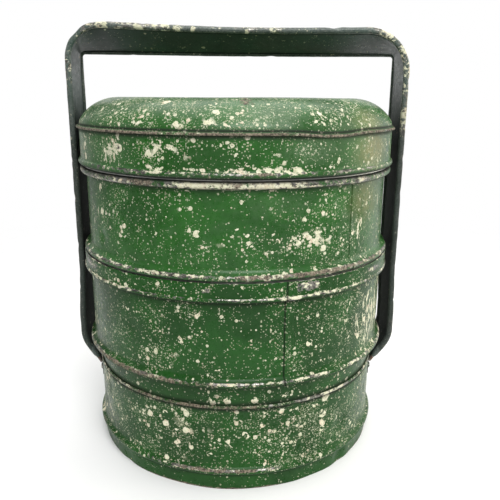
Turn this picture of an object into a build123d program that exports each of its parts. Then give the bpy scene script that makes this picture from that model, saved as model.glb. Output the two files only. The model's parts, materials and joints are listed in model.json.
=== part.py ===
"""Stacking tin food carrier: a lid and three round tiers inside a fixed strap handle.

Millimetres, +Z up. The origin is the centre of the circle that the foot stands on.
The tins are bodies of revolution about Z, and the strap's legs stand at +X and -X.
"""
from build123d import *
import os

os.makedirs("parts", exist_ok=True)

# Sheet and rolled edges
sheet = 0.6                      # tinplate
roll_radius = 2.0                # outside of an edge that is rolled round a wire
bore_radius = 1.3                # hollow of the roll
wire_radius = 1.2
fit_gap = 0.05                   # soldered lap between two hoops
nest_gap = 0.4                   # a tier's foot inside the collar below it
pan_lip = 2.0                    # upturned edge of a floor, soldered to the wall

# Bottom tier
base_wall_radius = 95.0
base_foot_height = 10.8
base_bead_height = 12.4
base_ridge_height = 54.0
base_ridge_radius = 0.75         # half round along the wall's upper edge
base_collar_overlap = 10.0
base_rim_height = 68.0
base_hem_height = 3.0

# Middle tier
middle_wall_radius = 98.3
middle_bead_height = 70.5
middle_bead_out = 1.1            # centre of the base roll outside the wall
middle_step_height = 121.0
middle_collar_radius = 101.5
middle_swage_radius = 1.6        # hollow bead pressed out at the collar's step
middle_rim_height = 130.7
middle_foot_depth = 7.5
seam_angle = -72.5               # lock seam, a little to the right of the front
seam_width = 6.0
seam_rise = 0.5

# Top tier
top_wall_radius = 97.8
top_bead_height = 133.0
top_roll_out = 1.7               # centres of both rolls outside the wall
top_rim_height = 182.5
top_foot_depth = 7.5
top_seam_angle = -47.0

# Lid
lid_band_radius = 100.7
lid_bead_height = 187.6
lid_flange_height = 208.4
lid_flange_radius = 1.5
lid_flange_tip = 102.6
crown_height = 226.4
shoulder_radius = 31.0
shoulder_start = 74.3            # radius where the flat crown begins to turn down
shoulder_end_angle = 35.0
lid_skirt_radius = 96.6
lid_skirt_depth = 7.6

# Handle
strap_sheet = 0.8
strap_roll_offset = 14.9         # each roll's centre from the strap's middle
web_half_width = 13.4
web_inset = 0.5                  # the web lies this far inside the rolls' centres
leg_half_span = 105.1            # centre of the rolls beside the lid
leg_low_half_span = 108.0        # and where the legs bulge above the knee
bulge_low_height = 82.0
bulge_high_height = 112.0
knee_height = 62.5
knee_radius = 20.0
bulge_radius = 60.0
leg_end_half_span = 93.5         # inside the wall, where the leg is trimmed off
leg_end_height = 43.5
grip_front_left = 269.4          # front edge's height at the left corner,
grip_front_middle = 265.5        # at the middle
grip_front_right = 267.1         # and at the right corner
grip_front_corner = 22.0
grip_back_ends = 255.0
grip_back_middle = 254.6
grip_back_corner = 5.0
grip_middle_radius = 1500.0
tab_bottom = 33.0
tab_top = 47.0

# Rivets that hold the strap's tabs
rivet_radius = 1.4
rivet_head_radius = 3.0
rivet_crown_radius = 1.8
rivet_head_height = 1.4
rivet_burr_radius = 2.0
rivet_burr_height = 1.0
rivet_height = 38.5
rivet_angle = 4.6                # each side of the X axis
rivet_hole_radius = 1.45
plate_top = 43.5

middle_bead_radius = middle_wall_radius + middle_bead_out
top_roll_radius = top_wall_radius + top_roll_out
base_bead_radius = base_wall_radius + 0.6
lid_bead_radius = lid_band_radius - 0.5
collar_radius = base_wall_radius - sheet - fit_gap
middle_floor_height = base_rim_height + 0.2
top_floor_height = middle_rim_height + 0.3
trim_radius = base_wall_radius + fit_gap


def hoop(outer, bottom, top, thickness=sheet):
    """Section of a straight hoop, drawn in the current sketch."""
    with Locations((outer - thickness / 2, (bottom + top) / 2)):
        Rectangle(thickness, top - bottom)


def plate(inner, outer, bottom, thickness=sheet):
    """Section of a flat disc or ring, drawn in the current sketch."""
    with Locations(((inner + outer) / 2, bottom + thickness / 2)):
        Rectangle(outer - inner, thickness)


def disc(outer, bottom, thickness=sheet):
    """Section of a full disc that reaches the axis."""
    plate(0, outer, bottom, thickness)


def roll(centre_radius, height, radius=roll_radius):
    """Section of a rolled edge."""
    with Locations((centre_radius, height)):
        Circle(radius)


def bore(centre_radius, height, radius=bore_radius):
    """Hollow for the wire, cut last."""
    with Locations((centre_radius, height)):
        Circle(radius, mode=Mode.SUBTRACT)


def seam_rib(angle, wall_radius, bottom, top):
    """Folded vertical seam, standing a little proud of a wall."""
    rib_centre = wall_radius - sheet / 2 + seam_rise / 2
    with Locations(Location((0, 0, (bottom + top) / 2), (0, 0, angle))):
        with Locations((rib_centre, 0, 0)):
            Box(sheet + seam_rise, seam_width, top - bottom)


# ---------------------------------------------------------------- bottom tier

rivet_spots = []
for side_angle in (0, 180):
    for turn in (-rivet_angle, rivet_angle):
        rivet_spots.append(Location((0, 0, rivet_height), (0, 0, side_angle + turn)))


def rivet_holes():
    """Radial holes for the four rivets, cut from the current part."""
    with Locations(*rivet_spots):
        with Locations((base_wall_radius, 0, 0)):
            Cylinder(rivet_hole_radius, 8, rotation=(0, 90, 0), mode=Mode.SUBTRACT)


with BuildPart() as bottom_tier_wall:
    with BuildSketch(Plane.XZ):
        hoop(base_wall_radius, base_bead_height, base_ridge_height + base_ridge_radius)
        roll(base_wall_radius - 0.3, base_ridge_height, base_ridge_radius)
        roll(base_bead_radius, base_bead_height)
        with Locations((base_bead_radius, base_foot_height - roll_radius)):
            Rectangle(4 * roll_radius, 2 * roll_radius, mode=Mode.SUBTRACT)
        with Locations((collar_radius + fit_gap - 1, base_ridge_height)):
            Rectangle(2, 8, mode=Mode.SUBTRACT)
        bore(base_bead_radius, base_bead_height)
    revolve(axis=Axis.Z)
    rivet_holes()
bottom_tier_wall.part.label = "bottom_tier_wall"

with BuildPart() as bottom_tier_base_wire:
    with BuildSketch(Plane.XZ):
        roll(base_bead_radius, base_bead_height, wire_radius)
    revolve(axis=Axis.Z)
bottom_tier_base_wire.part.label = "bottom_tier_base_wire"

with BuildPart() as bottom_tier_collar:
    with BuildSketch(Plane.XZ):
        hoop(collar_radius, base_ridge_height - base_collar_overlap, base_rim_height)
        hoop(collar_radius, base_rim_height - base_hem_height, base_rim_height, 2 * sheet)
    revolve(axis=Axis.Z)
bottom_tier_collar.part.label = "bottom_tier_collar"

with BuildPart() as bottom_tier_floor:
    with BuildSketch(Plane.XZ):
        disc(base_bead_radius - roll_radius - fit_gap, base_foot_height)
        hoop(base_bead_radius - roll_radius - fit_gap, base_foot_height, base_foot_height + pan_lip)
    revolve(axis=Axis.Z)
bottom_tier_floor.part.label = "bottom_tier_floor"

with BuildPart() as bottom_tier_foot:
    with BuildSketch(Plane.XZ):
        hoop(base_wall_radius, 0, base_foot_height)
        hoop(base_wall_radius, 0, base_hem_height, 2 * sheet)
    revolve(axis=Axis.Z)
bottom_tier_foot.part.label = "bottom_tier_foot"

# ---------------------------------------------------------------- middle tier

with BuildPart() as middle_tier_wall:
    swage_centre = middle_collar_radius + 0.6 - middle_swage_radius
    shoulder_bottom = middle_step_height - middle_swage_radius
    with BuildSketch(Plane.XZ):
        hoop(middle_wall_radius, middle_bead_height, shoulder_bottom + sheet)
        plate(middle_wall_radius - sheet, swage_centre, shoulder_bottom)
        hoop(middle_collar_radius, middle_step_height, middle_rim_height)
        hoop(middle_collar_radius, middle_rim_height - base_hem_height, middle_rim_height, 2 * sheet)
        roll(swage_centre, middle_step_height, middle_swage_radius)
        roll(middle_bead_radius, middle_bead_height)
        bore(swage_centre, middle_step_height, middle_swage_radius - sheet)
        bore(middle_bead_radius, middle_bead_height)
    revolve(axis=Axis.Z)
    seam_rib(seam_angle, middle_wall_radius, middle_bead_height + 3, shoulder_bottom)
    seam_rib(seam_angle, middle_collar_radius, middle_step_height + 2, middle_rim_height)
middle_tier_wall.part.label = "middle_tier_wall"

with BuildPart() as middle_tier_base_wire:
    with BuildSketch(Plane.XZ):
        roll(middle_bead_radius, middle_bead_height, wire_radius)
    revolve(axis=Axis.Z)
middle_tier_base_wire.part.label = "middle_tier_base_wire"

with BuildPart() as middle_tier_floor:
    middle_pan_radius = middle_bead_radius - roll_radius - fit_gap
    with BuildSketch(Plane.XZ):
        disc(middle_pan_radius, middle_floor_height)
        hoop(middle_pan_radius, middle_floor_height, middle_floor_height + pan_lip)
    revolve(axis=Axis.Z)
middle_tier_floor.part.label = "middle_tier_floor"

with BuildPart() as middle_tier_foot:
    middle_foot_radius = collar_radius - 2 * sheet - nest_gap
    middle_foot_bottom = base_rim_height - middle_foot_depth
    with BuildSketch(Plane.XZ):
        hoop(middle_foot_radius, middle_foot_bottom, middle_floor_height)
        hoop(middle_foot_radius, middle_foot_bottom, middle_foot_bottom + 2, 2 * sheet)
    revolve(axis=Axis.Z)
middle_tier_foot.part.label = "middle_tier_foot"

# ------------------------------------------------------------------- top tier

with BuildPart() as top_tier_wall:
    with BuildSketch(Plane.XZ):
        hoop(top_wall_radius, top_bead_height, top_rim_height)
        roll(top_roll_radius, top_bead_height)
        roll(top_roll_radius, top_rim_height)
        bore(top_roll_radius, top_bead_height)
        bore(top_roll_radius, top_rim_height)
    revolve(axis=Axis.Z)
    seam_rib(top_seam_angle, top_wall_radius, top_bead_height + 3, top_rim_height - 3)
top_tier_wall.part.label = "top_tier_wall"

with BuildPart() as top_tier_rim_wire:
    with BuildSketch(Plane.XZ):
        roll(top_roll_radius, top_rim_height, wire_radius)
    revolve(axis=Axis.Z)
top_tier_rim_wire.part.label = "top_tier_rim_wire"

with BuildPart() as top_tier_base_wire:
    with BuildSketch(Plane.XZ):
        roll(top_roll_radius, top_bead_height, wire_radius)
    revolve(axis=Axis.Z)
top_tier_base_wire.part.label = "top_tier_base_wire"

with BuildPart() as top_tier_floor:
    top_pan_radius = top_wall_radius - sheet - fit_gap
    with BuildSketch(Plane.XZ):
        disc(top_pan_radius, top_floor_height)
        hoop(top_pan_radius, top_floor_height, top_floor_height + pan_lip)
    revolve(axis=Axis.Z)
top_tier_floor.part.label = "top_tier_floor"

with BuildPart() as top_tier_foot:
    top_foot_radius = middle_collar_radius - 2 * sheet - nest_gap
    top_foot_bottom = middle_rim_height - top_foot_depth
    with BuildSketch(Plane.XZ):
        hoop(top_foot_radius, top_foot_bottom, top_floor_height)
        plate(top_pan_radius - 4, top_foot_radius, top_floor_height - sheet)
    revolve(axis=Axis.Z)
top_tier_foot.part.label = "top_tier_foot"

# ------------------------------------------------------------------------ lid


def crown_section(inward, bottom):
    """Half section of the domed lid, drawn a sheet's thickness inward for its hollow."""
    arc_centre = (shoulder_start, crown_height - shoulder_radius)
    arc_turn = shoulder_end_angle - 90
    with BuildLine() as outline:
        shoulder = CenterArc(arc_centre, shoulder_radius - inward, 90, arc_turn)
        skirt = Line(shoulder @ 1, (lid_flange_tip - lid_flange_radius - inward, bottom))
        Polyline(skirt @ 1, (0, bottom), (0, crown_height - inward), shoulder @ 0)
    make_face(outline.edges())


with BuildPart() as lid_crown:
    with BuildSketch(Plane.XZ):
        crown_section(0, lid_flange_height)
        roll(lid_flange_tip - lid_flange_radius, lid_flange_height, lid_flange_radius)
    revolve(axis=Axis.Z)
    with BuildSketch(Plane.XZ):
        crown_section(sheet, lid_flange_height - 2 * lid_flange_radius)
        with Locations((lid_band_radius, lid_flange_height)):
            Rectangle(1, 2 * lid_flange_radius, mode=Mode.SUBTRACT)
    revolve(axis=Axis.Z, mode=Mode.SUBTRACT)
lid_crown.part.label = "lid_crown"

with BuildPart() as lid_band:
    with BuildSketch(Plane.XZ):
        hoop(lid_band_radius, lid_bead_height, lid_flange_height - lid_flange_radius)
        roll(lid_bead_radius, lid_bead_height)
        bore(lid_bead_radius, lid_bead_height)
    revolve(axis=Axis.Z)
lid_band.part.label = "lid_band"

with BuildPart() as lid_rim_wire:
    with BuildSketch(Plane.XZ):
        roll(lid_bead_radius, lid_bead_height, wire_radius)
    revolve(axis=Axis.Z)
lid_rim_wire.part.label = "lid_rim_wire"

with BuildPart() as lid_skirt:
    tier_top = top_rim_height + roll_radius
    skirt_top = lid_bead_height - roll_radius
    with BuildSketch(Plane.XZ):
        hoop(lid_skirt_radius, tier_top - lid_skirt_depth, skirt_top)
        plate(lid_skirt_radius - sheet, lid_bead_radius + 0.3, skirt_top - sheet)
    revolve(axis=Axis.Z)
lid_skirt.part.label = "lid_skirt"

# --------------------------------------------------------------------- handle


def strap_line(left_height, middle_height, right_height, corner_radius, inward=0):
    """One long edge of the strap, from the right tab over the grip to the left tab."""
    leg = [
        (leg_end_half_span - inward, leg_end_height),
        (leg_low_half_span - inward, knee_height),
        (leg_low_half_span - inward, bulge_low_height),
        (leg_half_span - inward, bulge_high_height),
    ]
    grip = [
        (leg_half_span - inward, right_height - inward),
        (0, middle_height - inward),
        (-leg_half_span + inward, left_height - inward),
    ]
    leg_radii = [knee_radius - inward, bulge_radius, bulge_radius]
    grip_radii = [corner_radius - inward, grip_middle_radius, corner_radius - inward]
    points = leg + grip + [(-x, z) for x, z in reversed(leg)]
    return FilletPolyline(*points, radius=leg_radii + grip_radii + leg_radii[::-1])


def web_section(*edge):
    """Thin closed outline of the flat web where it meets one of the rolls."""
    with BuildLine() as outline:
        outer = strap_line(*edge, web_inset - strap_sheet / 2)
        inner = strap_line(*edge, web_inset + strap_sheet / 2)
        Line(outer @ 0, inner @ 0)
        Line(outer @ 1, inner @ 1)
    make_face(outline.edges())


def trim_at_wall():
    """Cut the strap's ends to the bottom tier's round wall."""
    with Locations((0, 0, base_rim_height / 2)):
        Cylinder(trim_radius, base_rim_height, mode=Mode.SUBTRACT)


front = (grip_front_left, grip_front_middle, grip_front_right, grip_front_corner)
back = (grip_back_ends, grip_back_middle, grip_back_ends, grip_back_corner)
front_plane = Plane.XZ.offset(strap_roll_offset)
back_plane = Plane.XZ.offset(-strap_roll_offset)

with BuildLine(front_plane) as front_edge:
    strap_line(*front)
with BuildLine(back_plane) as back_edge:
    strap_line(*back)


def section_plane(edge):
    """Plane across the start of one of the strap's rolled edges."""
    return Plane(origin=edge.wire() @ 0, z_dir=edge.wire() % 0)


with BuildPart() as handle_strap:
    with BuildSketch(Plane.XZ.offset(web_half_width)):
        web_section(*front)
    with BuildSketch(Plane.XZ.offset(-web_half_width)):
        web_section(*back)
    loft(ruled=True)
    for edge in (front_edge, back_edge):
        with BuildSketch(section_plane(edge)):
            Circle(roll_radius)
            Circle(bore_radius, mode=Mode.SUBTRACT)
        sweep(path=edge.wire())
    trim_at_wall()
    with BuildSketch(Plane.XY.offset(tab_bottom)):
        Circle(trim_radius + strap_sheet)
        Circle(trim_radius, mode=Mode.SUBTRACT)
        Rectangle(3 * trim_radius, 2 * web_half_width, mode=Mode.INTERSECT)
    extrude(amount=tab_top - tab_bottom)
    rivet_holes()
handle_strap.part.label = "handle_strap"

with BuildPart() as handle_front_wire:
    with BuildSketch(section_plane(front_edge)):
        Circle(wire_radius)
    sweep(path=front_edge.wire())
    trim_at_wall()
handle_front_wire.part.label = "handle_front_wire"

with BuildPart() as handle_back_wire:
    with BuildSketch(section_plane(back_edge)):
        Circle(wire_radius)
    sweep(path=back_edge.wire())
    trim_at_wall()
handle_back_wire.part.label = "handle_back_wire"

plate_radius = base_wall_radius - sheet - fit_gap
with BuildPart() as handle_plates:
    with BuildSketch(Plane.XY.offset(tab_bottom)):
        Circle(plate_radius)
        Circle(plate_radius - strap_sheet, mode=Mode.SUBTRACT)
        Rectangle(3 * trim_radius, 2 * web_half_width, mode=Mode.INTERSECT)
    extrude(amount=plate_top - tab_bottom)
    rivet_holes()
handle_plates.part.label = "handle_plates"

head_start = trim_radius + strap_sheet + fit_gap
burr_start = plate_radius - strap_sheet - fit_gap
with BuildPart() as handle_rivets:
    with Locations(*rivet_spots):
        with Locations((head_start + rivet_head_height / 2, 0, 0)):
            Cone(rivet_head_radius, rivet_crown_radius, rivet_head_height, rotation=(0, 90, 0))
        with Locations(((head_start + burr_start) / 2, 0, 0)):
            Cylinder(rivet_radius, head_start - burr_start, rotation=(0, 90, 0))
        with Locations((burr_start - rivet_burr_height / 2, 0, 0)):
            Cylinder(rivet_burr_radius, rivet_burr_height, rotation=(0, 90, 0))
handle_rivets.part.label = "handle_rivets"

for piece in (
    bottom_tier_wall, bottom_tier_base_wire, bottom_tier_collar, bottom_tier_floor, bottom_tier_foot,
    middle_tier_wall, middle_tier_base_wire, middle_tier_floor, middle_tier_foot,
    top_tier_wall, top_tier_rim_wire, top_tier_base_wire, top_tier_floor, top_tier_foot,
    lid_crown, lid_band, lid_rim_wire, lid_skirt,
    handle_strap, handle_front_wire, handle_back_wire, handle_plates, handle_rivets,
):
    export_step(piece.part, f"parts/{piece.part.label}.step")
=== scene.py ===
"""Worn green paint and cream spatter for the stacking tin food carrier."""
import json
import math
import bmesh
import bpy
import numpy as np
from mathutils import Matrix, Vector


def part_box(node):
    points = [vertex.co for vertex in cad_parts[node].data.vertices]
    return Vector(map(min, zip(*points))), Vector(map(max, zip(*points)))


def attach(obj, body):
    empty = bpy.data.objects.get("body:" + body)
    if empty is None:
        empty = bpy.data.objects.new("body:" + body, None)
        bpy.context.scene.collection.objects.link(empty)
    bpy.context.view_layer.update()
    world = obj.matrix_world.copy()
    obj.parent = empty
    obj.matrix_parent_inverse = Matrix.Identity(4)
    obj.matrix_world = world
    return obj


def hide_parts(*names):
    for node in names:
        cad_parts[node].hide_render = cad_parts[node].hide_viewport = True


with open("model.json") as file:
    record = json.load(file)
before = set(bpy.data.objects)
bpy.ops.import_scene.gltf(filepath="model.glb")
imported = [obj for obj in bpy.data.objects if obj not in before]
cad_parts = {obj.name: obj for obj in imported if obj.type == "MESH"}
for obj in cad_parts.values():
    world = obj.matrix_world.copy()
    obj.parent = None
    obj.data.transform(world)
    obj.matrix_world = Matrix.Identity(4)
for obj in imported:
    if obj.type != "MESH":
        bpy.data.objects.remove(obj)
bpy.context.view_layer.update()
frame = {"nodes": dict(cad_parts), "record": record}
scene = bpy.context.scene

# ---- sizes, in millimetres
MM = 0.001
SHEET = 0.5  # tinplate, as drawn here
ROLL = 2.0  # outside radius of an edge rolled round a wire
CURL = ROLL - SHEET / 2  # centre-line radius of a tin's rolled edge
HEM, HEM_DEPTH = 0.3, 3.0  # centre-line radius of a folded edge, and how far the fold reaches
SEGMENTS = 432  # round a tin
WALL_STEP = 2.4  # between the rings of vertices on a wall
TIN_RADIUS = 100  # near enough every tin's, to turn degrees into millimetres
PAINT, TIN = 0, 1  # material slots of a shell
SHARP_ANGLE = 50  # degrees; an edge that turns more than this is drawn sharp
FLARE_START = 62  # degrees above level at which a wall's foot leaves its roll
DING_REACH = 5.0  # about the half width of a small dent
STILL_CENTRE = 20  # nearer the axis than this, a sheet's shifts fade to nothing

# A roll is rubbed most on what faces this many degrees above level; the wear spreads this far
RUB_FACING, RUB_SPREAD = 36, 64

# Seams: finer columns of vertices this many degrees either side, the fold's flanks, the crease
# beside it and the darkening in that, soiling with painted shade
SEAM_REACH, SEAM_COLUMNS = 3.5, 36
FOLD_SLOPE, CREASE_REACH, CREASE_DEPTH, SEAM_GRIME_SHADE_REACH = 0.35, 0.25, 0.12, 0.45


def radius_of(node):
    """Greatest radius of a CAD node that stands round the axis."""
    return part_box(node)[1].x / MM


def bottom_of(node):
    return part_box(node)[0].z / MM


def top_of(node):
    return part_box(node)[1].z / MM


def wire_centre(node):
    """Radius and height of the centre of a hoop of wire."""
    low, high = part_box(node)
    thickness = high.z - low.z
    return np.array([high.x - thickness / 2, (high.z + low.z) / 2]) / MM


# ---- bent sheet


def turn_between(bearing, middle):
    """Degrees from middle to bearing, the short way round."""
    return (bearing - middle + 180) % 360 - 180


def arc(centre, radius, start, end, steps=12):
    """Points along a circular arc in radius and height, its angles in degrees."""
    turn = np.radians(np.linspace(start, end, steps + 1))
    return np.column_stack([centre[0] + radius * np.cos(turn), centre[1] + radius * np.sin(turn)])


def run(start, end, step=WALL_STEP):
    """Points along a straight line, at most step millimetres apart."""
    count = max(1, math.ceil(math.dist(start, end) / step))
    return np.linspace(start, end, count + 1)


def left_of(line):
    """Unit vectors at right angles to a line, pointing to its left."""
    along = np.gradient(line, axis=0)
    along /= np.linalg.norm(along, axis=1)[:, None]
    return np.column_stack([-along[:, 1], along[:, 0]])


def length_along(line):
    """How far along a line each of its points lies."""
    return np.append(0, np.cumsum(np.linalg.norm(np.diff(line, axis=0), axis=1)))


def flare(centre, wall_radius, tall=2.2):
    """The wall's foot: from the top of a roll it curves smoothly to tall above the bend's corner."""
    turn = math.radians(FLARE_START)
    first = centre + CURL * np.array([math.cos(turn), math.sin(turn)])
    reach = (first[0] - wall_radius) / math.sin(turn)
    corner = np.array([wall_radius, first[1] + reach * math.cos(turn)])
    last = np.array([wall_radius, corner[1] + tall])
    t = np.linspace(0, 1, 10)[:, None]
    return (1 - t) ** 2 * first + 2 * t * (1 - t) * corner + t ** 2 * last


def stroke(points, left=TIN, right=PAINT, crest=0.0, centre=None):
    """One stretch of a sheet's centre line, with the finish of each side and its exposure to wear.

    left and right are the sides as seen along the stretch. A roll whose centre is given is rubbed
    most on its upper outer side.
    """
    exposed = np.full(len(points), float(crest))
    if centre is not None:
        facing = np.degrees(np.arctan2(points[:, 1] - centre[1], points[:, 0] - centre[0]))
        exposed = crest * np.exp(-(turn_between(facing, RUB_FACING) / RUB_SPREAD) ** 2)
    return points, np.full(len(points), left), np.full(len(points), right), exposed


def turned_stroke(points, **wear):
    """A stretch drawn the other way, with the paint on its left."""
    return stroke(points, left=PAINT, right=TIN, **wear)


def base_roll(centre, wall_radius, crest, flare_crest):
    """Strokes of a tin's base roll and of the wall's foot above it."""
    return [stroke(arc(centre, CURL, -200, FLARE_START, 30), crest=crest, centre=centre),
            stroke(flare(centre, wall_radius), crest=flare_crest)]


def hemmed_rim(radius, low, rim, step=WALL_STEP):
    """Strokes of a straight wall whose upper edge is folded inwards."""
    fold, inside = rim - HEM - SHEET / 2, radius - 2 * HEM
    return [stroke(run((radius, low), (radius, fold), step)),
            stroke(arc((radius - HEM, fold), HEM, 0, 180, 8), crest=0.8),
            stroke(run((inside, fold), (inside, rim - HEM_DEPTH)))]


def sheet_outline(strokes):
    """Closed outline of a bent sheet: points, finish of each point, exposure to wear."""
    line = np.vstack([s[0] for s in strokes])
    left, right, crest = (np.concatenate([s[i] for s in strokes]) for i in (1, 2, 3))
    keep = np.append(True, np.linalg.norm(np.diff(line, axis=0), axis=1) > 0.02)
    line, left, right, crest = line[keep], left[keep], right[keep], crest[keep]
    aside = left_of(line) * SHEET / 2
    outline = np.vstack([line - aside, (line + aside)[::-1]])
    outline[:, 0] = np.maximum(outline[:, 0], 0)
    return outline, np.concatenate([right, left[::-1]]), np.concatenate([crest, crest[::-1]])


# ---- unevenness and marks


def ripple(seed, bearing, height, finest=14, lean=40.0):
    """Smooth unevenness round a hoop, about -1 to 1. Bearings are degrees from the front."""
    chance = np.random.default_rng(seed)
    total, power = 0, 0
    for waves in range(2, finest + 1):
        size = chance.normal() / math.sqrt(waves)
        shift = chance.uniform(0, 2 * math.pi) + chance.normal() * height / lean
        total = total + size * np.cos(waves * np.radians(bearing) + shift)
        power += size * size
    return total / math.sqrt(power) / 1.6


def spot(bearing, height, middle, level, wide, tall):
    """A soft-edged patch, 1 in its middle: wide in degrees, tall in millimetres, each a half."""
    across = turn_between(bearing, middle) / wide
    up = (height - level) / tall
    return np.exp(-(across * across + up * up) ** 1.5)


def patches(bearing, height, table):
    """Patches added up: rows of bearing, height, half width, half height, strength."""
    total = np.zeros(np.broadcast(bearing, height).shape)
    for middle, level, wide, tall, strength in table:
        total += strength * spot(bearing, height, middle, level, wide, tall)
    return total


def dings(seed, bearing, height, low, high, count, deepest):
    """Small dents knocked in at chance places."""
    chance = np.random.default_rng(seed)
    total = np.zeros(np.broadcast(bearing, height).shape)
    for _ in range(count):
        middle, level = chance.uniform(-180, 180), chance.uniform(low, high)
        size = DING_REACH * chance.uniform(0.5, 1.3)
        degrees = math.degrees(size / TIN_RADIUS)
        total += deepest * chance.uniform(0.3, 1) * spot(bearing, height, middle, level, degrees, size)
    return -total


# ---- meshes


def add_object(name, data):
    """A new object in the scene."""
    thing = bpy.data.objects.new(name, data)
    scene.collection.objects.link(thing)
    return thing


def make_piece(name, body, vertices, faces, finishes, marks, materials, replaced):
    """A finished piece from arrays in millimetres, riding on its body."""
    mesh = bpy.data.meshes.new(name)
    mesh.from_pydata(vertices * MM, [], faces)
    mesh.polygons.foreach_set("material_index", np.asarray(finishes, dtype=np.int32))
    for mark, values in marks.items():
        attribute = mesh.attributes.new(mark, "FLOAT", "POINT")
        attribute.data.foreach_set("value", np.asarray(values, dtype=np.float32).ravel())
    for material in materials:
        mesh.materials.append(material)
    shape = bmesh.new()
    shape.from_mesh(mesh)
    bmesh.ops.remove_doubles(shape, verts=shape.verts, dist=1e-7)
    bmesh.ops.recalc_face_normals(shape, faces=shape.faces)
    for face in shape.faces:
        face.smooth = True
    shape.to_mesh(mesh)
    shape.free()
    mesh.set_sharp_from_angle(angle=math.radians(SHARP_ANGLE))
    piece = add_object(name, mesh)
    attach(piece, body)
    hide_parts(*replaced)


def grid_faces(rows, columns, close_rows=True):
    """Quads of a grid of vertices whose rows are closed rings, and the row that each starts on."""
    i, j = np.meshgrid(np.arange(rows if close_rows else rows - 1), np.arange(columns), indexing="ij")
    i, j = i.ravel(), j.ravel()
    k, m = (i + 1) % rows, (j + 1) % columns
    corners = [i * columns + j, i * columns + m, k * columns + m, k * columns + j]
    return np.column_stack(corners), i


def lofted(rings):
    """Vertices and faces of a skin through rings of points, capped at both ends."""
    rows, count = rings.shape[:2]
    faces, _ = grid_faces(rows, count, close_rows=False)
    caps = [list(range(count))[::-1], [i + (rows - 1) * count for i in range(count)]]
    return rings.reshape(-1, 3), faces.tolist() + caps


def spin(name, body, strokes, shape, marks, materials, replaced, seam=None):
    """A hoop of bent sheet. shape(bearing, height, radius, outside) gives out and up shifts.

    marks(bearing, height, exposed) gives the values that the paint reads.
    """
    outline, finish, crest = sheet_outline(strokes)
    bearings = np.arange(SEGMENTS) * 360 / SEGMENTS - 180
    if seam is not None:
        fine = seam + np.linspace(-SEAM_REACH, SEAM_REACH, SEAM_COLUMNS)
        away = np.abs(turn_between(bearings, seam)) > SEAM_REACH + 180 / SEGMENTS
        bearings = np.sort(np.concatenate([bearings[away], fine]))
    bearing, radius = np.meshgrid(bearings, outline[:, 0])
    height = np.repeat(outline[:, 1:], len(bearings), axis=1)
    outside = np.repeat((finish == PAINT)[:, None], len(bearings), axis=1)
    exposed = np.repeat(crest[:, None], len(bearings), axis=1)
    out, up = shape(bearing, height, radius, outside)
    values = marks(bearing, height, exposed)
    radius, height = radius + out * np.minimum(radius / STILL_CENTRE, 1), height + up
    turn = np.radians(bearing)
    places = [radius * np.sin(turn), -radius * np.cos(turn), height]
    vertices = np.stack(places, axis=-1).reshape(-1, 3)
    faces, row = grid_faces(*bearing.shape)
    make_piece(name, body, vertices, faces.tolist(), finish[row], values, materials, replaced)


# ---- node trees
BUMP_HEIGHT = 0.6 * MM


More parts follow.
